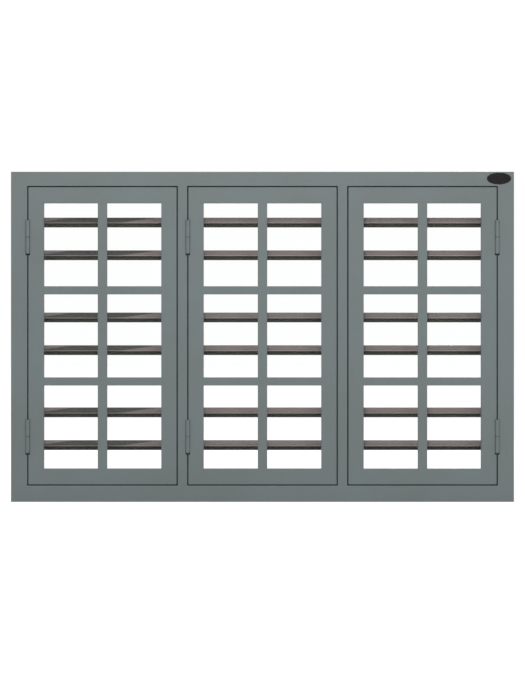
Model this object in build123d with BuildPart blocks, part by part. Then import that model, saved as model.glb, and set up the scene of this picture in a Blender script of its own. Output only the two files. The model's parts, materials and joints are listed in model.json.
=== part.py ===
from build123d import *
import os

# Steel casement window, three outward opening sashes in one rebated frame.
# Millimetres. X to the right seen from outside, Y into the room, Z up.
# The origin is the middle of the sill's underside, half way through the frame.

os.makedirs("parts", exist_ok=True)

# Bays from left to right, and the side each sash is hung on: -1 left, 1 right
bay_names = ("left", "middle", "right")
hung_sides = (-1, -1, 1)

# Outer frame, closed hollow sections folded from sheet
overall_width = 1600
overall_height = 1050
frame_depth = 100
jamb_face = 52
head_face = 46
sill_face = 52
mullion_face = 31
stop_width = 18
rebate_depth = 34
frame_sheet = 1.5
frame_bend = 2.5
cope_play = 0.1

# Sashes, with a glazing land at the pane edges
sash_gap = 3
sash_thickness = 32
stile_face = 49
rail_face = 51
glazing_land = 11
land_depth = 10
sash_sheet = 1.2
sash_bend = 2
sash_corner = 3.5

# Glazing bars, panes and the sheet of glass behind them
pane_columns = 2
pane_rows = 3
muntin_upright_face = 30
muntin_cross_face = 26
gasket_thickness = 1.5
gasket_setback = 0.4
glass_thickness = 5
glass_edge_play = 3
bead_width = 10.5
bead_sheet = 1
bead_joint = 0.3

# Weather seals on the stops
seal_width = 9
seal_inset = 0.5
seal_play = 0.3

# Grille tubes behind the sashes, in pairs spread over the bay's height
bar_pairs = 3
bar_diameter = 31.75
bar_wall = 1.2
bar_spacing = 105
bar_pair_share = 0.32
bar_rise = 7
bar_setback = 28
bar_play = 0.25
bar_seat = 12

# Wall fixings through the jambs
fixing_radius = 5
fixing_inset = 130
fixing_depth = 45

# Lift-off hinges, two to a sash
hinge_inset = 208
hinge_proud = 1
knuckle_radius = 6.5
knuckle_length = 52.9
knuckle_round = 4
knuckle_edge = 0.8
hinge_play = 0.3
washer_thickness = 1.2
washer_radius = 5.3
pin_radius = 3.5
pin_half_length = 40
pin_end_play = 1
pin_edge = 0.6
leaf_thickness = 2
leaf_depth = 26
leaf_lift = 8
notch_reach = 7
notch_tail = 4

# Turn handles and their keepers
running_clearance = 0.05
press_clearance = 0.01
lay_clearance = 0.3
handle_height = 425
handle_inset = 26.5
base_width = 18
base_height = 64
base_thickness = 4
base_edge = 1
spindle_radius = 4
spindle_length = 3.4
hub_radius = 8
hub_depth = 10.5
hub_edge = 1
grip_length = 88
grip_end_radius = 5.5
grip_root_radius = 7
grip_thickness = 6
grip_edge = 1.5
tongue_length = 22
tongue_width = 8
tongue_thickness = 5
tongue_lift = 1.5
keeper_thickness = 1.5
keeper_width = 15
keeper_margin = 14
keeper_corner = 3
keeper_slot_play = 1
keeper_wall_play = 0.8

# Peg stays along the bottom rails, their reach from the hinge axis as shares of the sash's
stay_pivot_share = 0.25
stay_peg_share = 0.55
stay_end_share = 0.885
stay_offset = 11
stay_hold_angles = (0, 45, 90)
arm_width = 14
arm_thickness = 4
arm_height = 30
knob_radius = 5.5
knob_height = 8
knob_edge = 2
bracket_width = 34
bracket_height = 19
bracket_thickness = 3
bracket_corner = 3
lug_thickness = 4
rivet_radius = 3
rivet_head_radius = 5
rivet_head_height = 2
peg_radius = 3
peg_hole_play = 0.4
peg_tip = 1
peg_top_play = 0.8
peg_plate_thickness = 2
peg_plate_length = 36
peg_plate_width = 15
peg_plate_corner = 3

# Places that follow from the sizes above
half_width = overall_width / 2
front_y = -frame_depth / 2
back_y = frame_depth / 2
stop_y = front_y + rebate_depth
head_stop = stop_width * head_face / jamb_face
sill_stop = stop_width * sill_face / jamb_face
bay_count = len(bay_names)
bay_width = (overall_width - 2 * jamb_face - (bay_count - 1) * mullion_face) / bay_count
bay_height = overall_height - head_face - sill_face
bay_middle_z = sill_face + bay_height / 2
bay_pitch = bay_width + mullion_face
bay_centres = [(i - (bay_count - 1) / 2) * bay_pitch for i in range(bay_count)]
mullion_centres = [(i - (bay_count - 2) / 2) * bay_pitch for i in range(bay_count - 1)]
bay_soffit_x = bay_width / 2 - stop_width
sill_soffit_z = sill_face + sill_stop

sash_width = bay_width - 2 * sash_gap
sash_height = bay_height - 2 * sash_gap
sash_bottom = sill_face + sash_gap
sash_top = sash_bottom + sash_height
sash_back_y = front_y + sash_thickness
land_y = front_y + land_depth
rail_land = glazing_land * rail_face / stile_face
field_width = sash_width - 2 * stile_face
field_height = sash_height - 2 * rail_face
pane_width = (field_width - (pane_columns - 1) * muntin_upright_face) / pane_columns
pane_height = (field_height - (pane_rows - 1) * muntin_cross_face) / pane_rows
pane_pitch_x = pane_width + muntin_upright_face
pane_pitch_z = pane_height + muntin_cross_face
glazed_width = sash_width - 2 * (stile_face - glazing_land)
glazed_height = sash_height - 2 * (rail_face - rail_land)
glass_y = land_y + gasket_thickness
bead_y = glass_y + glass_thickness
bead_depth = sash_back_y - bead_y

bar_radius = bar_diameter / 2
bar_pair_pitch = bar_pair_share * bay_height
bar_middle_z = bay_middle_z + bar_rise
bar_y = back_y - bar_setback
bar_heights = [
    bar_middle_z + bar_pair_pitch * ((bar_pairs - 1) / 2 - pair) + half * bar_spacing / 2
    for pair in range(bar_pairs)
    for half in (1, -1)
]
fixing_y = front_y + fixing_depth
fixing_heights = (fixing_inset, overall_height - fixing_inset)

hinge_x = -bay_width / 2 + sash_gap / 2
hinge_y = front_y - hinge_proud
hinge_heights = (hinge_inset, overall_height - hinge_inset)
hinge_split = washer_thickness + hinge_play
hinge_half = knuckle_length + hinge_split / 2

handle_x = sash_width / 2 - handle_inset
base_back_y = sash_back_y + base_thickness
hub_y = base_back_y + lay_clearance
hub_back_y = hub_y + hub_depth
tongue_front_y = hub_y + tongue_lift
tongue_y = tongue_front_y + tongue_thickness / 2
slot_width = tongue_thickness + 2 * keeper_slot_play
slot_height = tongue_length + tongue_width / 2 + 2 * keeper_slot_play
slot_middle_z = handle_height + (tongue_length - tongue_width / 2) / 2

sash_reach = sash_width + sash_gap / 2
stay_pivot_reach = stay_pivot_share * sash_reach
stay_peg_reach = stay_peg_share * sash_reach
arm_length = stay_end_share * sash_reach - stay_pivot_reach
stay_x = hinge_x + stay_pivot_reach
stay_y = sash_back_y + stay_offset
arm_z = sash_bottom + arm_height - bracket_thickness
lug_z = arm_z - lay_clearance - lug_thickness
peg_x = hinge_x + stay_peg_reach


# Planes and small helpers
def face_plane(y):
    """Upright plane across the window at depth y, X to the right and Z up."""
    return Plane.XZ.offset(-y)


def side_plane(x, y=0, z=0):
    """Upright plane through the window's depth at x, Y to the right and Z up."""
    return Plane(origin=(x, y, z), x_dir=(0, 1, 0), z_dir=(1, 0, 0))


def corner_mitre(x, z, across, up):
    """Mitre plane at a corner, its normal given across and up."""
    return Plane(origin=(x, 0, z), z_dir=(across, 0, up))


def save(piece, name):
    piece.part.label = name
    export_step(piece.part, f"parts/{name}.step")


def add_in_bay(solid, index):
    """Add a piece drawn for a sash hung on its left to the bay of that index."""
    if hung_sides[index] > 0:
        solid = mirror(solid, about=Plane.YZ, mode=Mode.PRIVATE)
    with Locations((bay_centres[index], 0, 0)):
        add(solid)


def save_in_bays(piece, name):
    for index, bay in enumerate(bay_names):
        with BuildPart() as copy:
            add_in_bay(piece.part, index)
        save(copy, f"{bay}_{name}")


def rebated_section(front, back, step, depth, bend, sheet):
    """Stepped box section; sheet 0 leaves it solid. X across the face, Y inwards."""
    with BuildSketch() as section:
        with BuildLine():
            Polyline((0, 0), (front, 0), (front, step), (back, step), (back, depth), (0, depth), close=True)
        make_face()
        fold_order = section.vertices().sort_by_distance((min(front, back), step))
        fillet(fold_order[1:], radius=bend)
        if sheet:
            offset(amount=-sheet, mode=Mode.SUBTRACT)
    return section.sketch


def cut_hinge_notches(axis_x, side):
    """Corner notches that take the knuckles, on one side of the hinge axis."""
    align_x = Align.MAX if side < 0 else Align.MIN
    foot = hinge_half + notch_tail
    with Locations(*[(axis_x, hinge_y + notch_reach, z - foot) for z in hinge_heights]):
        Box(
            notch_reach,
            notch_reach + knuckle_radius,
            foot + hinge_half + hinge_play,
            align=(align_x, Align.MAX, Align.MIN),
            mode=Mode.SUBTRACT,
        )


def cut_keeper_slot(index):
    """Slot in the mullion where the handle's tongue passes behind the keeper."""
    soffit_x = bay_centres[index] - hung_sides[index] * bay_soffit_x
    with Locations((soffit_x, tongue_y, slot_middle_z)):
        Box(
            4 * frame_sheet,
            slot_width + 2 * keeper_wall_play,
            slot_height + 2 * keeper_wall_play,
            mode=Mode.SUBTRACT,
        )


# Frame sections and mitres
jamb_section = rebated_section(
    jamb_face, jamb_face + stop_width, rebate_depth, frame_depth, frame_bend, frame_sheet
)
head_section = rebated_section(
    head_face, head_face + head_stop, rebate_depth, frame_depth, frame_bend, frame_sheet
)
sill_section = rebated_section(
    sill_face, sill_face + sill_stop, rebate_depth, frame_depth, frame_bend, frame_sheet
)
cope_depth = frame_depth + 2 * frame_bend
head_outline = rebated_section(head_face, head_face + head_stop, rebate_depth, cope_depth, frame_bend, 0)
sill_outline = rebated_section(sill_face, sill_face + sill_stop, rebate_depth, cope_depth, frame_bend, 0)

jamb_plane = Plane(origin=(-half_width, front_y, 0), x_dir=(1, 0, 0), z_dir=(0, 0, 1))
head_plane = Plane(origin=(-half_width, front_y, overall_height), x_dir=(0, 0, -1), z_dir=(1, 0, 0))
sill_plane = Plane(origin=(half_width, front_y, 0), x_dir=(0, 0, 1), z_dir=(-1, 0, 0))

head_mitre_left = corner_mitre(-half_width, overall_height, head_face, jamb_face)
head_mitre_right = corner_mitre(half_width, overall_height, -head_face, jamb_face)
sill_mitre_left = corner_mitre(-half_width, 0, -sill_face, jamb_face)
sill_mitre_right = corner_mitre(half_width, 0, sill_face, jamb_face)

# Jambs, with seats for the grille, wall fixings and hinge notches
with BuildPart() as left_jamb:
    with BuildSketch(jamb_plane):
        add(jamb_section)
    extrude(amount=overall_height)
    split(bisect_by=head_mitre_left, keep=Keep.BOTTOM)
    split(bisect_by=sill_mitre_left, keep=Keep.TOP)
    jamb_soffit = side_plane(jamb_face + stop_width - half_width)
    with BuildSketch(jamb_soffit):
        with Locations(*[(bar_y, z) for z in bar_heights]):
            Circle(bar_radius + bar_play)
    extrude(amount=-2 * frame_sheet, mode=Mode.SUBTRACT)
    with BuildSketch(jamb_soffit):
        with Locations(*[(fixing_y, z) for z in fixing_heights]):
            Circle(fixing_radius)
    extrude(amount=-jamb_face - stop_width, mode=Mode.SUBTRACT)
    cut_hinge_notches(bay_centres[0] + hinge_x, -1)
save(left_jamb, "left_jamb")

with BuildPart() as right_jamb:
    mirror(left_jamb.part, about=Plane.YZ)
save(right_jamb, "right_jamb")

# Head and sill
with BuildPart() as frame_head:
    with BuildSketch(head_plane):
        add(head_section)
    extrude(amount=overall_width)
    split(bisect_by=head_mitre_left, keep=Keep.TOP)
    split(bisect_by=head_mitre_right, keep=Keep.TOP)
save(frame_head, "frame_head")

with BuildPart() as frame_sill:
    with BuildSketch(sill_plane):
        add(sill_section)
    extrude(amount=overall_width)
    split(bisect_by=sill_mitre_left, keep=Keep.BOTTOM)
    split(bisect_by=sill_mitre_right, keep=Keep.BOTTOM)
save(frame_sill, "frame_sill")

# Mullions, coped onto the head and the sill
with BuildPart() as head_block:
    with BuildSketch(head_plane):
        with Locations((0, -cope_play)):
            add(head_outline)
    extrude(amount=overall_width)

with BuildPart() as sill_block:
    with BuildSketch(sill_plane):
        with Locations((0, -cope_play)):
            add(sill_outline)
    extrude(amount=overall_width)

mullion_half = mullion_face / 2
mullion_back_half = mullion_half + stop_width
with BuildSketch() as mullion_section:
    with BuildLine():
        Polyline(
            (-mullion_half, front_y),
            (mullion_half, front_y),
            (mullion_half, stop_y),
            (mullion_back_half, stop_y),
            (mullion_back_half, back_y),
            (-mullion_back_half, back_y),
            (-mullion_back_half, stop_y),
            (-mullion_half, stop_y),
            close=True,
        )
    make_face()
    step_corners = mullion_section.vertices().filter_by(
        lambda v: abs(v.X) < mullion_half + frame_sheet and v.Y > front_y + frame_sheet
    )
    fillet(mullion_section.vertices() - step_corners, radius=frame_bend)
    offset(amount=-frame_sheet, mode=Mode.SUBTRACT)

with BuildPart() as mullion_blank:
    with BuildSketch(Plane.XY.offset(sill_face - frame_bend)):
        add(mullion_section.sketch)
    extrude(amount=bay_height + 2 * frame_bend)
    add(head_block.part, mode=Mode.SUBTRACT)
    add(sill_block.part, mode=Mode.SUBTRACT)
    with BuildSketch(side_plane(-mullion_back_half - frame_sheet)):
        with Locations(*[(bar_y, z) for z in bar_heights]):
            Circle(bar_radius + bar_play)
    extrude(amount=2 * (mullion_back_half + frame_sheet), mode=Mode.SUBTRACT)

with BuildPart() as left_mullion:
    with Locations((mullion_centres[0], 0, 0)):
        add(mullion_blank.part)
    cut_keeper_slot(0)
    cut_hinge_notches(bay_centres[1] + hinge_x, -1)
save(left_mullion, "left_mullion")

with BuildPart() as right_mullion:
    with Locations((mullion_centres[1], 0, 0)):
        add(mullion_blank.part)
    cut_keeper_slot(1)
    cut_keeper_slot(2)
save(right_mullion, "right_mullion")

# Grille tubes, from the top down
bar_start_x = jamb_face + stop_width - bar_seat - half_width
for number, z in enumerate(bar_heights, start=1):
    with BuildPart() as grille_bar:
        with BuildSketch(side_plane(bar_start_x, bar_y, z)):
            Circle(bar_radius)
            Circle(bar_radius - bar_wall, mode=Mode.SUBTRACT)
        extrude(amount=-2 * bar_start_x)
    save(grille_bar, f"grille_bar_{number}")

# Weather seals, one ring on the stops of each bay
seal_thickness = rebate_depth - sash_thickness - seal_play
with BuildPart() as weather_seals:
    with BuildSketch(face_plane(stop_y)):
        with Locations(*[(x, bay_middle_z) for x in bay_centres]):
            Rectangle(bay_width - 2 * seal_inset, bay_height - 2 * seal_inset)
            Rectangle(
                bay_width - 2 * seal_inset - 2 * seal_width,
                bay_height - 2 * seal_inset - 2 * seal_width,
                mode=Mode.SUBTRACT,
            )
    extrude(amount=seal_thickness)
save(weather_seals, "weather_seals")

# Sash sections and mitres, drawn for a sash hung on its left
stile_section = rebated_section(
    stile_face, stile_face - glazing_land, land_depth, sash_thickness, sash_bend, sash_sheet
)
rail_section = rebated_section(
    rail_face, rail_face - rail_land, land_depth, sash_thickness, sash_bend, sash_sheet
)
sash_half = sash_width / 2
stile_plane = Plane(origin=(-sash_half, front_y, sash_bottom), x_dir=(1, 0, 0), z_dir=(0, 0, 1))
top_plane = Plane(origin=(-sash_half, front_y, sash_top), x_dir=(0, 0, -1), z_dir=(1, 0, 0))
bottom_plane = Plane(origin=(sash_half, front_y, sash_bottom), x_dir=(0, 0, 1), z_dir=(-1, 0, 0))
top_mitre_left = corner_mitre(-sash_half, sash_top, rail_face, stile_face)
top_mitre_right = corner_mitre(sash_half, sash_top, -rail_face, stile_face)
bottom_mitre_left = corner_mitre(-sash_half, sash_bottom, -rail_face, stile_face)
bottom_mitre_right = corner_mitre(sash_half, sash_bottom, rail_face, stile_face)

# Stiles and rails, their outer corners ground round together
with BuildPart() as sash_outline:
    with BuildSketch(face_plane(front_y - sash_bend)):
        with Locations((0, bay_middle_z)):
            RectangleRounded(sash_width + 2 * cope_play, sash_height + 2 * cope_play, sash_corner)
    extrude(amount=-sash_thickness - 2 * sash_bend)

with BuildPart() as plain_stile:
    with BuildSketch(stile_plane):
        add(stile_section)
    extrude(amount=sash_height)
    split(bisect_by=top_mitre_left, keep=Keep.BOTTOM)
    split(bisect_by=bottom_mitre_left, keep=Keep.TOP)
    add(sash_outline.part, mode=Mode.INTERSECT)

with BuildPart() as hinge_stile:
    add(plain_stile.part)
    cut_hinge_notches(hinge_x, 1)
save_in_bays(hinge_stile, "hinge_stile")

with BuildPart() as lock_stile:
    mirror(plain_stile.part, about=Plane.YZ)
save_in_bays(lock_stile, "lock_stile")

with BuildPart() as top_rail:
    with BuildSketch(top_plane):
        add(rail_section)
    extrude(amount=sash_width)
    split(bisect_by=top_mitre_left, keep=Keep.TOP)
    split(bisect_by=top_mitre_right, keep=Keep.TOP)
    add(sash_outline.part, mode=Mode.INTERSECT)
save_in_bays(top_rail, "top_rail")

with BuildPart() as bottom_rail:
    with BuildSketch(bottom_plane):
        add(rail_section)
    extrude(amount=sash_width)
    split(bisect_by=bottom_mitre_left, keep=Keep.BOTTOM)
    split(bisect_by=bottom_mitre_right, keep=Keep.BOTTOM)
    add(sash_outline.part, mode=Mode.INTERSECT)
save_in_bays(bottom_rail, "bottom_rail")


# Glazing bars: one grid of flat tubes in front of the glass, coped onto the sash
def muntin_sketch(inset, lap):
    """The grid's bars, each side drawn in by inset and the ends run on by lap."""
    with Locations((0, bay_middle_z)):
        with GridLocations(pane_pitch_x, 0, pane_columns - 1, 1):
            Rectangle(muntin_upright_face - 2 * inset, field_height + 2 * lap)
        with GridLocations(0, pane_pitch_z, 1, pane_rows - 1):
            Rectangle(field_width + 2 * lap, muntin_cross_face - 2 * inset)


with BuildPart() as sash_lip:
    with BuildSketch(face_plane(front_y)):
        with Locations((0, bay_middle_z)):
            Rectangle(sash_width, sash_height)
            Rectangle(field_width, field_height, mode=Mode.SUBTRACT)
    extrude(amount=-land_depth)
    lip_front = sash_lip.faces().sort_by(Axis.Y)[0]
    fillet(lip_front.inner_wires().edges(), radius=sash_bend)

with BuildPart() as muntin_grid:
    with BuildSketch(face_plane(front_y)):
        muntin_sketch(0, 3 * sash_bend)
    extrude(amount=-land_depth)
    fillet(muntin_grid.faces().sort_by(Axis.Y)[0].edges(), radius=sash_bend)
    with BuildSketch(face_plane(front_y + sash_sheet)):
        muntin_sketch(sash_sheet, 3 * sash_bend)
    extrude(amount=2 * sash_sheet - land_depth, mode=Mode.SUBTRACT)
    add(sash_lip.part, mode=Mode.SUBTRACT)
save_in_bays(muntin_grid, "muntin_grid")

# Gasket, glass and beads
glass_width = glazed_width - 2 * glass_edge_play
glass_height = glazed_height - 2 * glass_edge_play
with BuildPart() as glazing_gasket:
    with BuildSketch(face_plane(land_y)):
        with Locations((0, bay_middle_z)):
            Rectangle(glass_width, glass_height)
            Rectangle(
                field_width + 2 * gasket_setback,
                field_height + 2 * gasket_setback,
                mode=Mode.SUBTRACT,
            )
    extrude(amount=-gasket_thickness)
save_in_bays(glazing_gasket, "glazing_gasket")

with BuildPart() as glass:
    with BuildSketch(face_plane(glass_y)):
        with Locations((0, bay_middle_z)):
            Rectangle(glass_width, glass_height)
    extrude(amount=-glass_thickness)
save_in_bays(glass, "glass")

with BuildSketch() as bead_section:
    with BuildLine():
        Polyline(
            (0, 0),
            (bead_width, 0),
            (bead_width, bead_depth),
            (0, bead_depth),
            (0, bead_depth - bead_sheet),
            (bead_width - bead_sheet, bead_depth - bead_sheet),
            (bead_width - bead_sheet, bead_sheet),
            (0, bead_sheet),
            close=True,
        )
    make_face()

glazed_half = glazed_width / 2
glazed_bottom = bay_middle_z - glazed_height / 2
glazed_top = bay_middle_z + glazed_height / 2
bead_side_plane = Plane(origin=(-glazed_half, bead_y, glazed_bottom), x_dir=(1, 0, 0), z_dir=(0, 0, 1))
bead_top_plane = Plane(origin=(-glazed_half, bead_y, glazed_top), x_dir=(0, 0, -1), z_dir=(1, 0, 0))
bead_bottom_plane = Plane(origin=(glazed_half, bead_y, glazed_bottom), x_dir=(0, 0, 1), z_dir=(-1, 0, 0))
bead_top_left = corner_mitre(-glazed_half, glazed_top, 1, 1)
bead_top_right = corner_mitre(glazed_half, glazed_top, -1, 1)
bead_bottom_left = corner_mitre(-glazed_half, glazed_bottom, -1, 1)
bead_bottom_right = corner_mitre(glazed_half, glazed_bottom, 1, 1)

with BuildPart() as side_bead:
    with BuildSketch(bead_side_plane):
        add(bead_section.sketch)
    extrude(amount=glazed_height)
    split(bisect_by=bead_top_left.offset(-bead_joint), keep=Keep.BOTTOM)
    split(bisect_by=bead_bottom_left.offset(bead_joint), keep=Keep.TOP)

with BuildPart() as top_bead:
    with BuildSketch(bead_top_plane):
        add(bead_section.sketch)
    extrude(amount=glazed_width)
    split(bisect_by=bead_top_left, keep=Keep.TOP)
    split(bisect_by=bead_top_right, keep=Keep.TOP)

with BuildPart() as bottom_bead:
    with BuildSketch(bead_bottom_plane):
        add(bead_section.sketch)
    extrude(amount=glazed_width)
    split(bisect_by=bead_bottom_left, keep=Keep.BOTTOM)
    split(bisect_by=bead_bottom_right, keep=Keep.BOTTOM)

with BuildPart() as glazing_beads:
    add(side_bead.part)
    mirror(side_bead.part, about=Plane.YZ)
    add(top_bead.part)
    add(bottom_bead.part)
save_in_bays(glazing_beads, "glazing_beads")

# Hinge halves: the lower one welded to the frame with pin and washer, the upper one to the sash
with BuildPart() as frame_knuckle:
    with BuildSketch(Plane.XY.offset(-hinge_half)):
        with Locations((hinge_x, hinge_y)):
            Circle(knuckle_radius)
    extrude(amount=knuckle_length)
    fillet(frame_knuckle.edges().group_by(Axis.Z)[0], radius=knuckle_round)
    chamfer(frame_knuckle.edges().group_by(Axis.Z)[-1], length=knuckle_edge)
    with BuildSketch(Plane.XY.offset(leaf_lift - hinge_half)):
        with Locations((hinge_x - sash_gap / 2, hinge_y)):
            Rectangle(leaf_thickness, leaf_depth, align=(Align.MIN, Align.MIN))
    extrude(amount=knuckle_length - leaf_lift)
    with BuildSketch(Plane.XY.offset(-hinge_split / 2)):
        with Locations((hinge_x, hinge_y)):
            Circle(pin_radius + press_clearance)
    extrude(amount=-pin_half_length, mode=Mode.SUBTRACT)

with BuildPart() as sash_knuckle:
    with BuildSketch(Plane.XY.offset(hinge_split / 2)):
        with Locations((hinge_x, hinge_y)):
            Circle(knuckle_radius)
    extrude(amount=knuckle_length)
    chamfer(sash_knuckle.edges().filter_by(GeomType.CIRCLE), length=knuckle_edge)
    with BuildSketch(Plane.XY.offset(hinge_split / 2)):
        with Locations((hinge_x + sash_gap / 2, hinge_y)):
            Rectangle(leaf_thickness, leaf_depth, align=(Align.MAX, Align.MIN))
    extrude(amount=knuckle_length - leaf_lift)
    with BuildSketch(Plane.XY.offset(hinge_split / 2)):
        with Locations((hinge_x, hinge_y)):
            Circle(pin_radius + running_clearance)
    extrude(amount=pin_half_length, mode=Mode.SUBTRACT)

with BuildPart() as hinge_pin:
    with BuildSketch(Plane.XY.offset(-pin_half_length - hinge_split / 2)):
        with Locations((hinge_x, hinge_y)):
            Circle(pin_radius)
    extrude(amount=2 * pin_half_length + hinge_split - pin_end_play)
    chamfer(hinge_pin.edges().filter_by(GeomType.CIRCLE), length=pin_edge)
    with BuildSketch(Plane.XY.offset(-hinge_split / 2)):
        with Locations((hinge_x, hinge_y)):
            Circle(washer_radius)
    extrude(amount=washer_thickness)

hinge_places = [(0, 0, z) for z in hinge_heights]
with BuildPart() as hinge_frame_leaves:
    with Locations(*hinge_places):
        add(frame_knuckle.part)
save_in_bays(hinge_frame_leaves, "hinge_frame_leaves")

with BuildPart() as hinge_sash_leaves:
    with Locations(*hinge_places):
        add(sash_knuckle.part)
save_in_bays(hinge_sash_leaves, "hinge_sash_leaves")

with BuildPart() as pin_pair:
    with Locations(*hinge_places):
        add(hinge_pin.part)

with BuildPart() as hinge_pins:
    for index in range(bay_count):
        add_in_bay(pin_pair.part, index)
save(hinge_pins, "hinge_pins")

# Turn handle: base plate on the lock stile, lever with its tongue up when released
with BuildPart() as handle_base:
    with BuildSketch(face_plane(sash_back_y)):
        with Locations((handle_x, handle_height)):
            SlotOverall(base_height, base_width, rotation=90)
    extrude(amount=-base_thickness)
    chamfer(handle_base.faces().sort_by(Axis.Y)[-1].edges(), length=base_edge)
    with BuildSketch(face_plane(sash_back_y)):
        with Locations((handle_x, handle_height)):
            Circle(spindle_radius + running_clearance)
    extrude(amount=-base_thickness, mode=Mode.SUBTRACT)
save_in_bays(handle_base, "handle_base")

with BuildPart() as handle:
    with BuildSketch(face_plane(hub_back_y)) as grip:
        with Locations((handle_x, handle_height)):
            Circle(grip_root_radius)
        with Locations((handle_x, handle_height - grip_length)):
            Circle(grip_end_radius)
        make_hull(grip.edges())
    extrude(amount=grip_thickness)
    chamfer(handle.faces().sort_by(Axis.Y)[-1].edges(), length=grip_edge)
    with BuildSketch(face_plane(hub_y)):
        with Locations((handle_x, handle_height)):
            Circle(hub_radius)
    extrude(amount=-hub_depth + hub_edge)
    with BuildSketch(face_plane(tongue_front_y)):
        with Locations((handle_x, handle_height)):
            Rectangle(tongue_width, tongue_length - tongue_width / 2, align=(Align.CENTER, Align.MIN))
        with Locations((handle_x, handle_height + tongue_length - tongue_width / 2)):
            Circle(tongue_width / 2)
    extrude(amount=-tongue_thickness)
    with BuildSketch(face_plane(hub_y)):
        with Locations((handle_x, handle_height)):
            Circle(spindle_radius)
    extrude(amount=spindle_length + lay_clearance)
save_in_bays(handle, "handle")

# Keepers, slotted plates on the mullion soffits
with BuildPart() as keeper:
    with BuildSketch(side_plane(bay_soffit_x, tongue_y, slot_middle_z)):
        RectangleRounded(keeper_width, slot_height + 2 * keeper_margin, keeper_corner)
        Rectangle(slot_width, slot_height, mode=Mode.SUBTRACT)
    extrude(amount=-keeper_thickness)

with BuildPart() as keepers:
    for index in range(bay_count):
        add_in_bay(keeper.part, index)
save(keepers, "keepers")

# Peg stays: bracket with its rivet, arm, and pegs on the sill
with BuildPart() as stay_bracket:
    with BuildSketch(face_plane(sash_back_y)):
        with Locations((stay_x, arm_z)):
            RectangleRounded(bracket_width, bracket_height, bracket_corner)
    extrude(amount=-bracket_thickness)
    with BuildSketch(Plane.XY.offset(lug_z)):
        with Locations((stay_x, stay_y)):
            Circle(arm_width / 2)
            Rectangle(arm_width, stay_offset, align=(Align.CENTER, Align.MAX))
    extrude(amount=lug_thickness)
    with BuildSketch(Plane.XY.offset(lug_z)):
        with Locations((stay_x, stay_y)):
            Circle(rivet_radius)
    extrude(amount=lug_thickness + arm_thickness + 2 * lay_clearance)
    with BuildSketch(Plane.XY.offset(arm_z + arm_thickness + lay_clearance)):
        with Locations((stay_x, stay_y)):
            Circle(rivet_head_radius)
    extrude(amount=rivet_head_height)
save_in_bays(stay_bracket, "stay_bracket")


def peg_distance(angle):
    """Rivet to peg along the arm with the sash open by that angle."""
    depth = stay_y - hinge_y
    swung = Vector(stay_pivot_reach, depth).rotate(Axis.Z, -angle)
    return (Vector(stay_peg_reach, depth) - swung).length


with BuildPart() as stay_arm:
    with BuildSketch(Plane.XY.offset(arm_z)):
        with Locations((stay_x + arm_length / 2, stay_y)):
            SlotCenterToCenter(arm_length, arm_width)
        with Locations((stay_x, stay_y)):
            Circle(rivet_radius + running_clearance, mode=Mode.SUBTRACT)
        with Locations(*[(stay_x + peg_distance(a), stay_y) for a in stay_hold_angles]):
            Circle(peg_radius + peg_hole_play, mode=Mode.SUBTRACT)
    extrude(amount=arm_thickness)
    with BuildSketch(Plane.XY.offset(arm_z + arm_thickness)):
        with Locations((stay_x + arm_length, stay_y)):
            Circle(knob_radius)
    extrude(amount=knob_height)
    chamfer(stay_arm.edges().group_by(Axis.Z)[-1], length=knob_edge)
save_in_bays(stay_arm, "stay_arm")

with BuildPart() as stay_peg:
    with BuildSketch(Plane.XY.offset(sill_soffit_z)):
        with Locations((peg_x, stay_y)):
            RectangleRounded(peg_plate_length, peg_plate_width, peg_plate_corner)
    extrude(amount=peg_plate_thickness)
    with BuildSketch(Plane.XY.offset(sill_soffit_z)):
        with Locations((peg_x, stay_y)):
            Circle(peg_radius)
    extrude(amount=arm_z - peg_top_play - sill_soffit_z)
    chamfer(stay_peg.edges().group_by(Axis.Z)[-1], length=peg_tip)

with BuildPart() as stay_pegs:
    for index in range(bay_count):
        add_in_bay(stay_peg.part, index)
save(stay_pegs, "stay_pegs")
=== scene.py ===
"""Finishes, small fittings, camera and light for the casement window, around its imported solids.

Metres, in the window's own frame: X to the right seen from outside, Y into the room, Z up.
"""
import json
import math

import bmesh
import bpy
from mathutils import Matrix, Vector


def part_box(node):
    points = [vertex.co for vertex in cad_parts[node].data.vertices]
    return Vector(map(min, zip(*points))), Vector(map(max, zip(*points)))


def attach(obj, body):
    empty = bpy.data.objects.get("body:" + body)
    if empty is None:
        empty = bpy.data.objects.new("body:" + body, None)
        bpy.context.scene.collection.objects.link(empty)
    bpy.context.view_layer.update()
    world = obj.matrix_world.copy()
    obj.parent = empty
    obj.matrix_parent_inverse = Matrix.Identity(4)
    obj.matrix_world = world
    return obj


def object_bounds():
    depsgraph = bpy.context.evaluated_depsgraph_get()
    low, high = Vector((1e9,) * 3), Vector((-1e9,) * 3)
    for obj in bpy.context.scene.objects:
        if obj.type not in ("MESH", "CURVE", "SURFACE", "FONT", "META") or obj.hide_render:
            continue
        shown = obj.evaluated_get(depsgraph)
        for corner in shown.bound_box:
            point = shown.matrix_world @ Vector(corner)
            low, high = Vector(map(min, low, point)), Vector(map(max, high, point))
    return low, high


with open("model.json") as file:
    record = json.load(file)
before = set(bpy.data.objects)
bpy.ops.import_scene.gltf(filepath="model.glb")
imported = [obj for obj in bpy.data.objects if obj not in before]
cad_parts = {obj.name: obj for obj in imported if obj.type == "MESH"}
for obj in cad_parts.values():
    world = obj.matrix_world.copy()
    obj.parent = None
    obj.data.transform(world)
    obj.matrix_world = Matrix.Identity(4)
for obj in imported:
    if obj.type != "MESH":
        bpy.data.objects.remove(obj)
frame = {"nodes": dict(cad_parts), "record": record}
cad_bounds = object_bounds()
nodes = frame["nodes"]
bays = ("left", "middle", "right")
scene = bpy.context.scene

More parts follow.
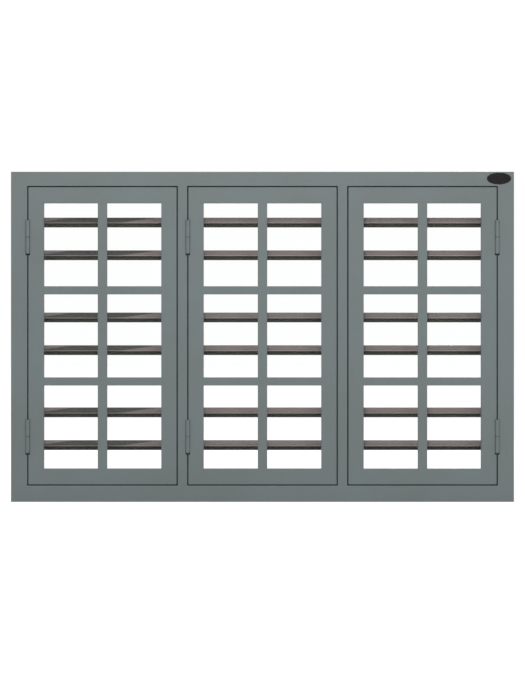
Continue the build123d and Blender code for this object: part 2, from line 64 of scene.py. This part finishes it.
# Photograph: pixels are read in its own frame
photo_width_px = 525
photo_height_px = 700
metres_per_px = 0.00318
window_middle_px = (262.5, 336.8)
plate_middle_px = (499.0, 178.5)
plate_size_px = (24.2, 11.6)

# Camera, its sensor in millimetres, and the lamps' names, places, sizes and powers
camera_distance = 7.5
camera_sensor = 36.0
lamps = (
    ("key", (-0.3, -4.8, 3.6), 0.7, 143.0),
    ("fill", (3.4, -3.6, 1.6), 0.6, 26.0),
    ("back", (1.0, 4.8, 2.6), 0.7, 60.0),
)

# Surroundings: the background looks white, and lights the window less strongly
ambient_strength = 0.62
white_strength = 1.0
floor_reach = 60.0
floor_drop = 0.0005
floor_colour = (0.86, 0.86, 0.86, 1.0)
floor_roughness = 0.9
floor_specular = 0.1
floor_glow = 1.25
floor_glow_share = 0.7

# Plain tones, the range that holds most values of a noise, and the detail of a fine grain
black = (0, 0, 0)
white = (1, 1, 1)
noise_range = (0.3, 0.7)
grain_detail = 2.0

# Glass: a thin sheet, with an index low enough to leave what is behind it in place
glass_colour = (0.985, 0.995, 0.99, 1.0)
glass_index = 1.1

# Painted reflection on the tubes outside, as tones by how far the surface faces up: 0 is straight down and
# 1 straight up
tube_outer_reflection_stops = (
    (0.17, "sole"), (0.32, "foot"), (0.404, "foot"), (0.409, "line"), (0.470, "line"),
    (0.476, "lower"), (0.78, "upper"), (0.89, "shoulder"), (0.97, "crown"),
)
# Painted reflection bands where the tubes are lit: a dark foot and sole below a pale line, then the upper
# bands
tube_lit_reflection = {
    "sole": (0.06, 0.059, 0.05),
    "foot": (0.028, 0.0265, 0.0215),
    "line": (0.30, 0.28, 0.262),
    "lower": (0.15, 0.127, 0.122),
    "upper": (0.185, 0.153, 0.15),
    "shoulder": (0.24, 0.2, 0.194),
    "crown": (0.13, 0.117, 0.113),
}
# The same painted reflection bands, darker in the painted shaded stretch
tube_shaded_reflection = {
    "sole": tube_lit_reflection["sole"],
    "foot": tube_lit_reflection["foot"],
    "line": (0.246, 0.23, 0.213),
    "lower": (0.0545, 0.052, 0.05),
    "upper": (0.068, 0.0645, 0.062),
    "shoulder": (0.086, 0.081, 0.078),
    "crown": (0.06, 0.058, 0.056),
}

# The shaded stretch: where it sets in and gives out along X, and how far its ends lean
tube_shade_start = (-0.73, -0.706)
tube_shade_end = (-0.454, -0.432)
tube_shade_reach = 1.0
tube_slant = -0.11

# Painted reflection on the tubes towards the room, by how far the surface faces up, with one painted
# highlight band
tube_room_stops = (
    (0.10, "low"), (0.42, "middle"), (0.60, "middle"), (0.68, "painted_highlight"), (0.76, "middle"), (0.90, "crown"),
)
tube_room_reflection = {
    "low": (0.035, 0.034, 0.033),
    "middle": (0.105, 0.099, 0.096),
    "painted_highlight": (0.3, 0.29, 0.285),
    "crown": (0.1, 0.093, 0.09),
}

# Tube sheen outside and towards the room; one passes into the other over this range of the normal's Y
tube_turn = (-0.1, 0.25)
tube_metallic = (0.1, 0.8)
tube_roughness = (0.55, 0.3)
tube_specular = 0.15

# Screws: a straight edge below a dome, a cross recess, and a spin in radians that grows from head to head
screw_radius = 0.0034
screw_height = 0.0011
screw_segments = 28
screw_edge_share = 0.25
screw_dome_steps = 6
screw_dome_power = 0.6
screw_first_spin = 0.3
screw_next_spin = 0.7
screw_sharp_angle = math.radians(35)
recess_width = 0.0011
recess_reach = 0.0021
recess_depth = 0.0008

# Where the screws stand, and the sizes of the plates under them
bead_screw_spacing = 0.19
bead_screw_end = 0.06
bead_screw_inset = 0.0062
handle_screw_offset = 0.022
keeper_screw_offset = 0.021
bracket_screw_offset = 0.0115
bracket_thickness = 0.003
peg_screw_offset = 0.0125
peg_plate_length = 0.036
peg_plate_thickness = 0.002

# Oval plate: each row's share of the half height and of the rise, from the rim's foot to the middle
plate_rise = 0.0022
plate_segments = 72
plate_sharp_angle = math.radians(50)
plate_row_shares = (
    (1.0, 0.0), (1.0, 0.62), (0.985, 0.9), (0.965, 1.0), (0.945, 0.92), (0.925, 0.6),
    (0.8, 0.68), (0.6, 0.76), (0.4, 0.81), (0.2, 0.84), (0.0, 0.85),
)

box_low, box_high = (Vector(corner) for corner in cad_bounds)
front_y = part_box("frame_head")[0].y
window_middle = Vector((0.0, front_y, (box_low.z + box_high.z) / 2))


# Node helpers, for a material or the world
def principled(name, **values):
    """A material with one Principled shader, its plain values set on its own sockets."""
    material = bpy.data.materials.new(name)
    material.use_nodes = True
    shader = material.node_tree.nodes["Principled BSDF"]
    for socket, value in values.items():
        shader.inputs[socket.replace("_", " ")].default_value = value
    return material, shader


def add_node(owner, kind, **settings):
    node = owner.node_tree.nodes.new(kind)
    for key, value in settings.items():
        setattr(node, key, value)
    return node


def link(owner, source, target):
    owner.node_tree.links.new(source, target)


def noise(owner, scale, detail=3.0, stretch=(1, 1, 1)):
    """Noise in the piece's own coordinates, which move with its body."""
    place = add_node(owner, "ShaderNodeTexCoord")
    mapping = add_node(owner, "ShaderNodeMapping")
    mapping.inputs["Scale"].default_value = stretch
    texture = add_node(owner, "ShaderNodeTexNoise")
    texture.inputs["Scale"].default_value = scale
    texture.inputs["Detail"].default_value = detail
    link(owner, place.outputs["Object"], mapping.inputs["Vector"])
    link(owner, mapping.outputs["Vector"], texture.inputs["Vector"])
    return texture.outputs["Fac"]


def ramp(owner, factor, stops):
    """Colour ramp; stops are (position, colour)."""
    node = add_node(owner, "ShaderNodeValToRGB")
    elements = node.color_ramp.elements
    # New stops start in the middle, and get their places below
    while len(elements) < len(stops):
        elements.new(0.5)
    for element, (position, colour) in zip(elements, stops):
        element.position = position
        element.color = (*colour, 1.0)
    link(owner, factor, node.inputs["Fac"])
    return node.outputs["Color"]


def remap(owner, value, source, target=(0.0, 1.0)):
    """A value stretched from one range to another."""
    node = add_node(owner, "ShaderNodeMapRange")
    for end, number in zip(("Min", "Max"), source):
        node.inputs[f"From {end}"].default_value = number
    for end, number in zip(("Min", "Max"), target):
        node.inputs[f"To {end}"].default_value = number
    link(owner, value, node.inputs["Value"])
    return node.outputs["Result"]


def blend(owner, factor, first, second):
    """Two colours mixed by a factor."""
    node = add_node(owner, "ShaderNodeMix", data_type="RGBA")
    link(owner, factor, node.inputs["Factor"])
    link(owner, first, node.inputs["A"])
    link(owner, second, node.inputs["B"])
    return node.outputs["Result"]


def mixed_surface(material, factor, first, second):
    """Two shaders mixed by a factor, as the material's surface."""
    mix = add_node(material, "ShaderNodeMixShader")
    output = material.node_tree.nodes["Material Output"]
    link(material, factor, mix.inputs["Fac"])
    link(material, first, mix.inputs[1])
    link(material, second, mix.inputs[2])
    link(material, mix.outputs["Shader"], output.inputs["Surface"])


def bump(material, shader, height, strength, depth):
    node = add_node(material, "ShaderNodeBump")
    node.inputs["Strength"].default_value = strength
    node.inputs["Distance"].default_value = depth
    link(material, height, node.inputs["Height"])
    link(material, node.outputs["Normal"], shader.inputs["Normal"])


# Materials
def mottled(
    name, tones, tone_scale, roughness, roughness_scale, grain_scale, grain_strength, grain_depth,
    tone_detail=3.0, grain_stretch=(1, 1, 1), **values,
):
    """A finish with cloudy tones, an uneven sheen and a fine grain."""
    material, shader = principled(name, **values)
    low, high = noise_range
    places = [low + (high - low) * i / (len(tones) - 1) for i in range(len(tones))]
    clouds = ramp(material, noise(material, tone_scale, tone_detail), list(zip(places, tones)))
    sheen = remap(material, noise(material, roughness_scale), noise_range, roughness)
    grain = noise(material, grain_scale, grain_detail, grain_stretch)
    link(material, clouds, shader.inputs["Base Color"])
    link(material, sheen, shader.inputs["Roughness"])
    bump(material, shader, grain, grain_strength, grain_depth)
    return material


def frame_paint():
    """Satin grey powder coat: slight cloudiness, orange peel and an uneven sheen."""
    return mottled(
        "frame_paint",
        tones=((0.122, 0.141, 0.1405), (0.1255, 0.149, 0.149), (0.1285, 0.157, 0.1595)),
        tone_scale=5.0, tone_detail=5.0, roughness=(0.38, 0.5), roughness_scale=30.0,
        grain_scale=520.0, grain_strength=0.07, grain_depth=0.0004, Specular_IOR_Level=0.35,
    )


def dark_finish(name, **values):
    """Mottled dark finish with a fine grain, for rubber, coated fittings and the oval plate."""
    return mottled(name, tone_scale=60.0, roughness_scale=120.0, grain_depth=0.0003, **values)


def drawn_steel(name, tone, roughness):
    """Bare or zinc plated steel with fine drawn lines."""
    dull_share = 0.86
    dull = tuple(dull_share * level for level in tone)
    return mottled(
        name, tones=(dull, tone), tone_scale=90.0, roughness=roughness, roughness_scale=300.0,
        grain_scale=900.0, grain_strength=0.05, grain_depth=0.0002, grain_stretch=(1, 1, 0.15),
        Metallic=1.0,
    )


def slanted_shade(material, facing_up):
    """1 in the tubes' shaded stretch, whose ends lean as the surface turns up, and 0 elsewhere."""
    place = add_node(material, "ShaderNodeTexCoord")
    along = add_node(material, "ShaderNodeSeparateXYZ")
    link(material, place.outputs["Object"], along.inputs["Vector"])
    slant = add_node(material, "ShaderNodeMath", operation="MULTIPLY_ADD")
    slant.inputs[1].default_value = tube_slant
    link(material, facing_up, slant.inputs[0])
    link(material, along.outputs["X"], slant.inputs[2])
    stretch = remap(material, slant.outputs["Value"], (-tube_shade_reach, tube_shade_reach))
    ends = (*tube_shade_start, *tube_shade_end)
    shares = [(end + tube_shade_reach) / (2 * tube_shade_reach) for end in ends]
    return ramp(material, stretch, list(zip(shares, (black, white, white, black))))


def grille_steel():
    """Polished tube with painted reflection: banded outside, with a slanted painted shaded stretch, and
    plainer towards the room with one painted highlight.
    """
    material, shader = principled("grille_steel", Specular_IOR_Level=tube_specular)
    geometry = add_node(material, "ShaderNodeNewGeometry")
    facing = add_node(material, "ShaderNodeSeparateXYZ")
    link(material, geometry.outputs["Normal"], facing.inputs["Vector"])
    upward = remap(material, facing.outputs["Z"], (-1.0, 1.0))

    def banded(stops, tones):
        return ramp(material, upward, [(position, tones[band]) for position, band in stops])

    def turning(target):
        return remap(material, facing.outputs["Y"], tube_turn, target)

    # Painted reflection bands, lit and in the painted shaded stretch, mixed by the slanted mask
    lit = banded(tube_outer_reflection_stops, tube_lit_reflection)
    shaded = banded(tube_outer_reflection_stops, tube_shaded_reflection)
    outside = blend(material, slanted_shade(material, facing.outputs["Z"]), lit, shaded)
    # Towards the room the colour passes into the room side's painted reflection bands and painted
    # highlight
    tone = blend(material, turning((0.0, 1.0)), outside, banded(tube_room_stops, tube_room_reflection))
    link(material, tone, shader.inputs["Base Color"])
    link(material, turning(tube_metallic), shader.inputs["Metallic"])
    link(material, turning(tube_roughness), shader.inputs["Roughness"])
    return material


def clear_glass():
    """Clear float glass that lets lamp light through to the grille."""
    material, shader = principled(
        "clear_glass", Roughness=0.0, IOR=glass_index, Transmission_Weight=1.0, Base_Color=glass_colour
    )
    path = add_node(material, "ShaderNodeLightPath")
    through = add_node(material, "ShaderNodeBsdfTransparent")
    mixed_surface(material, path.outputs["Is Shadow Ray"], shader.outputs["BSDF"], through.outputs["BSDF"])
    return material


materials = {
    "frame_paint": frame_paint(),
    "grille_steel": grille_steel(),
    "clear_glass": clear_glass(),
    "black_rubber": dark_finish(
        "black_rubber", tones=((0.012, 0.012, 0.013), (0.024, 0.024, 0.025)), roughness=(0.62, 0.8),
        grain_scale=700.0, grain_strength=0.2,
    ),
    "hardware": dark_finish(
        "hardware", tones=((0.016, 0.016, 0.017), (0.03, 0.03, 0.031)), roughness=(0.34, 0.48),
        grain_scale=900.0, grain_strength=0.12,
    ),
    "plate_black": dark_finish(
        "plate_black", tones=((0.008, 0.007, 0.007), (0.013, 0.011, 0.011)), roughness=(0.2, 0.3),
        grain_scale=300.0, grain_strength=0.02, Specular_IOR_Level=0.15,
    ),
    "pin_steel": drawn_steel("pin_steel", tone=(0.11, 0.11, 0.115), roughness=(0.42, 0.55)),
    "zinc": drawn_steel("zinc", tone=(0.6, 0.6, 0.58), roughness=(0.22, 0.36)),
}

for subpart in frame["record"]["subparts"]:
    data = nodes[subpart["node"]].data
    data.materials.clear()
    data.materials.append(materials[subpart["material_slot"]])

# Light that bounces off the tubes passes the panes as lamp light does
for bay in bays:
    pane = nodes[f"{bay}_glass"]
    pane.visible_diffuse = False
    pane.visible_glossy = False


# Mesh helpers
def finished_mesh(form, name):
    mesh = bpy.data.meshes.new(name)
    form.to_mesh(mesh)
    form.free()
    return mesh


def smooth(mesh, sharp_angle):
    """Smooth shading, with edges sharper than the angle kept."""
    mesh.shade_smooth()
    mesh.set_sharp_from_angle(angle=sharp_angle)


def new_piece(name, mesh, material, body):
    """A mesh added to the scene, to ride on a body in a material slot."""
    mesh.materials.append(material)
    piece = bpy.data.objects.new(name, mesh)
    scene.collection.objects.link(piece)
    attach(piece, body)


def domed(name, rows, segments):
    """A closed mesh of ovals round Z, from rows of half width, half depth and height.

    A row without depth is one point on the axis, and a first row with some is closed flat.
    """
    form = bmesh.new()
    angles = [2 * math.pi * i / segments for i in range(segments)]
    rings = []
    for width, depth, height in rows:
        if depth == 0:
            rings.append([form.verts.new((0, 0, height))])
            continue
        rings.append([form.verts.new((width * math.cos(a), depth * math.sin(a), height)) for a in angles])
    if len(rings[0]) > 1:
        form.faces.new(reversed(rings[0]))
    for lower, upper in zip(rings, rings[1:]):
        for i in range(segments):
            corners = [lower[i % len(lower)], lower[(i + 1) % len(lower)]]
            corners += [upper[(i + 1) % len(upper)], upper[i % len(upper)]]
            form.faces.new(list(dict.fromkeys(corners)))
    bmesh.ops.recalc_face_normals(form, faces=form.faces)
    return finished_mesh(form, name)


def cut(mesh, cutter):
    """The first mesh less the second."""
    body = bpy.data.objects.new("cut_body", mesh)
    tool = bpy.data.objects.new("cut_tool", cutter)
    scene.collection.objects.link(body)
    scene.collection.objects.link(tool)
    modifier = body.modifiers.new("cut", "BOOLEAN")
    modifier.object = tool
    modifier.solver = "EXACT"
    modifier.use_self = True
    bpy.context.view_layer.update()
    evaluated = body.evaluated_get(bpy.context.evaluated_depsgraph_get())
    result = bpy.data.meshes.new_from_object(evaluated)
    bpy.data.objects.remove(body)
    bpy.data.objects.remove(tool)
    return result


# Screws
def cross_cutter():
    """Two crossed bars that cut a screw's driving recess."""
    form = bmesh.new()
    size = Matrix.Diagonal((2 * recess_reach, recess_width, 2 * recess_depth, 1))
    for quarter in (0, 1):
        bar = bmesh.ops.create_cube(form, size=1.0)["verts"]
        turn = Matrix.Rotation(quarter * math.pi / 2, 4, "Z")
        place = Matrix.Translation((0, 0, screw_height)) @ turn @ size
        bmesh.ops.transform(form, matrix=place, verts=bar)
    return finished_mesh(form, "cross")


def screw_head():
    """Low domed screw head with a cross recess, standing on Z = 0."""
    edge = screw_edge_share * screw_height
    profile = [(0, -recess_depth), (screw_radius, -recess_depth), (screw_radius, edge)]
    for step in range(1, screw_dome_steps):
        angle = step / screw_dome_steps * math.pi / 2
        radius = screw_radius * math.cos(angle) ** screw_dome_power
        profile.append((radius, edge + (screw_height - edge) * math.sin(angle)))
    profile.append((0, screw_height))
    rows = [(radius, radius, height) for radius, height in profile]
    return cut(domed("screw_head", rows, screw_segments), cross_cutter())


head_mesh = screw_head()


def screws(name, places, normal, body):
    """One piece of several screws; each head stands on its place and points along normal."""
    form = bmesh.new()
    turn = Vector((0, 0, 1)).rotation_difference(Vector(normal)).to_matrix().to_4x4()
    for number, place in enumerate(places):
        spin = Matrix.Rotation(screw_first_spin + screw_next_spin * number, 4, "Z")
        before = len(form.verts)
        form.from_mesh(head_mesh)
        form.verts.ensure_lookup_table()
        added = form.verts[before:]
        bmesh.ops.transform(form, matrix=Matrix.Translation(place) @ turn @ spin, verts=added)
    mesh = finished_mesh(form, name)
    smooth(mesh, screw_sharp_angle)
    new_piece(name, mesh, materials["zinc"], body)


def evenly(start, end, spacing):
    """Places from start to end, no further apart than spacing."""
    count = max(1, math.ceil((end - start) / spacing))
    return [start + (end - start) * i / count for i in range(count + 1)]


def either_side(x, y, z, offset):
    """The two places an offset before and after a point."""
    return [Vector((x, y, z)) + side * Vector(offset) for side in (-1, 1)]


def bead_screws(bay):
    """Screws through the backs of the four glazing beads."""
    low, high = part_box(f"{bay}_glazing_beads")
    places = []
    for z in evenly(low.z + bead_screw_end, high.z - bead_screw_end, bead_screw_spacing):
        for x in (low.x + bead_screw_inset, high.x - bead_screw_inset):
            places.append(Vector((x, high.y, z)))
    for x in evenly(low.x + bead_screw_end, high.x - bead_screw_end, bead_screw_spacing):
        for z in (low.z + bead_screw_inset, high.z - bead_screw_inset):
            places.append(Vector((x, high.y, z)))
    screws(f"{bay}_bead_screws", places, (0, 1, 0), f"{bay}_sash")


def handle_screws(bay):
    """Screws above and below the hub of a handle, on its base."""
    low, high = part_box(f"{bay}_handle_base")
    centre = (low + high) / 2
    places = either_side(centre.x, high.y, centre.z, (0, 0, handle_screw_offset))
    screws(f"{bay}_handle_screws", places, (0, 1, 0), f"{bay}_sash")


def bracket_screws(bay):
    """Screws beside the lug of a stay's bracket."""
    low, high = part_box(f"{bay}_stay_bracket")
    centre = (low + high) / 2
    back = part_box(f"{bay}_bottom_rail")[1].y + bracket_thickness
    places = either_side(centre.x, back, centre.z, (bracket_screw_offset, 0, 0))
    screws(f"{bay}_bracket_screws", places, (0, 1, 0), f"{bay}_sash")


def keeper_screws():
    """Screws above and below the slot of each keeper, on the mullions' soffits."""
    low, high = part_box("keepers")
    left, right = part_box("left_mullion"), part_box("right_mullion")
    thickness = left[0].x - low.x
    faces = {
        "left": (left[0].x - thickness, -1),
        "middle": (right[0].x - thickness, -1),
        "right": (right[1].x + thickness, 1),
    }
    centre = (low + high) / 2
    for bay, (x, side) in faces.items():
        places = either_side(x, centre.y, centre.z, (0, 0, keeper_screw_offset))
        screws(f"{bay}_keeper_screws", places, (side, 0, 0), "frame")


def peg_screws():
    """Screws at the ends of the three peg plates on the sill."""
    low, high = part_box("stay_pegs")
    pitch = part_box("middle_glass")[0].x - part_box("left_glass")[0].x
    y, z = (low.y + high.y) / 2, low.z + peg_plate_thickness
    left = low.x + peg_plate_length / 2
    middles = {"left": left, "middle": left + pitch, "right": high.x - peg_plate_length / 2}
    for bay, x in middles.items():
        places = either_side(x, y, z, (peg_screw_offset, 0, 0))
        screws(f"{bay}_peg_screws", places, (0, 0, 1), "frame")


for bay in bays:
    bead_screws(bay)
    handle_screws(bay)
    bracket_screws(bay)
keeper_screws()
peg_screws()


# Oval plate
def oval_plate():
    """The plain oval plate on the head, domed inside a raised rim."""
    half_width, half_height = (size * metres_per_px / 2 for size in plate_size_px)
    across = (plate_middle_px[0] - window_middle_px[0]) * metres_per_px
    up = (window_middle_px[1] - plate_middle_px[1]) * metres_per_px
    rows = []
    for share, rise in plate_row_shares:
        inset = (1 - share) * half_height
        rows.append((half_width - inset, half_height - inset, plate_rise * rise))
    mesh = domed("oval_plate", rows, plate_segments)
    place = Matrix.Translation((window_middle.x + across, front_y, window_middle.z + up))
    mesh.transform(place @ Matrix.Rotation(math.pi / 2, 4, "X"))
    smooth(mesh, plate_sharp_angle)
    new_piece("oval_plate", mesh, materials["plate_black"], "frame")


oval_plate()


# Floor, light and camera
def shown_rays(owner):
    """1 for the rays that show a surface or the background, 0 for those that only light."""
    path = add_node(owner, "ShaderNodeLightPath")
    total = path.outputs["Is Camera Ray"]
    for name in ("Is Glossy Ray", "Is Transmission Ray"):
        join = add_node(owner, "ShaderNodeMath", operation="MAXIMUM")
        link(owner, total, join.inputs[0])
        link(owner, path.outputs[name], join.inputs[1])
        total = join.outputs["Value"]
    return total


def studio_floor():
    """Pale floor that keeps the window's shadow and glows a little where it is seen."""
    mesh = bpy.data.meshes.new("floor")
    z = box_low.z - floor_drop
    corners = [(-1, -1), (1, -1), (1, 1), (-1, 1)]
    mesh.from_pydata([(floor_reach * x, floor_reach * y, z) for x, y in corners], [], [(0, 1, 2, 3)])
    floor = bpy.data.objects.new("floor", mesh)
    scene.collection.objects.link(floor)
    material, shader = principled(
        "floor", Base_Color=floor_colour, Roughness=floor_roughness, Specular_IOR_Level=floor_specular
    )
    glow = add_node(material, "ShaderNodeEmission")
    glow.inputs["Strength"].default_value = floor_glow
    share = remap(material, shown_rays(material), (0.0, 1.0), (0.0, floor_glow_share))
    mixed_surface(material, share, shader.outputs["BSDF"], glow.outputs["Emission"])
    mesh.materials.append(material)


def white_world():
    """White background that lights the window at the ambient strength."""
    world = bpy.data.worlds.new("studio")
    scene.world = world
    world.use_nodes = True
    background = world.node_tree.nodes["Background"]
    background.inputs["Color"].default_value = (*white, 1)
    strength = remap(world, shown_rays(world), (0.0, 1.0), (ambient_strength, white_strength))
    link(world, strength, background.inputs["Strength"])


def soft_light(name, place, size, power):
    """A square lamp that points at the window's middle."""
    lamp = bpy.data.lights.new(name, "AREA")
    lamp.shape = "SQUARE"
    lamp.size = size
    lamp.energy = power
    light = bpy.data.objects.new(name, lamp)
    scene.collection.objects.link(light)
    light.location = place
    light.rotation_euler = (window_middle - Vector(place)).to_track_quat("-Z", "Y").to_euler()


def photo_camera():
    """Level camera straight in front of the window, framed as the photograph is."""
    data = bpy.data.cameras.new("camera")
    data.sensor_fit = "VERTICAL"
    data.sensor_height = camera_sensor
    data.lens = camera_sensor * camera_distance / (photo_height_px * metres_per_px)
    camera = bpy.data.objects.new("camera", data)
    scene.collection.objects.link(camera)
    lift = (window_middle_px[1] - photo_height_px / 2) * metres_per_px
    side = (photo_width_px / 2 - window_middle_px[0]) * metres_per_px
    camera.location = window_middle + Vector((side, -camera_distance, lift))
    camera.rotation_euler = (math.pi / 2, 0, 0)
    scene.camera = camera


studio_floor()
white_world()
for lamp in lamps:
    soft_light(*lamp)
photo_camera()
scene.view_settings.view_transform = "Standard"
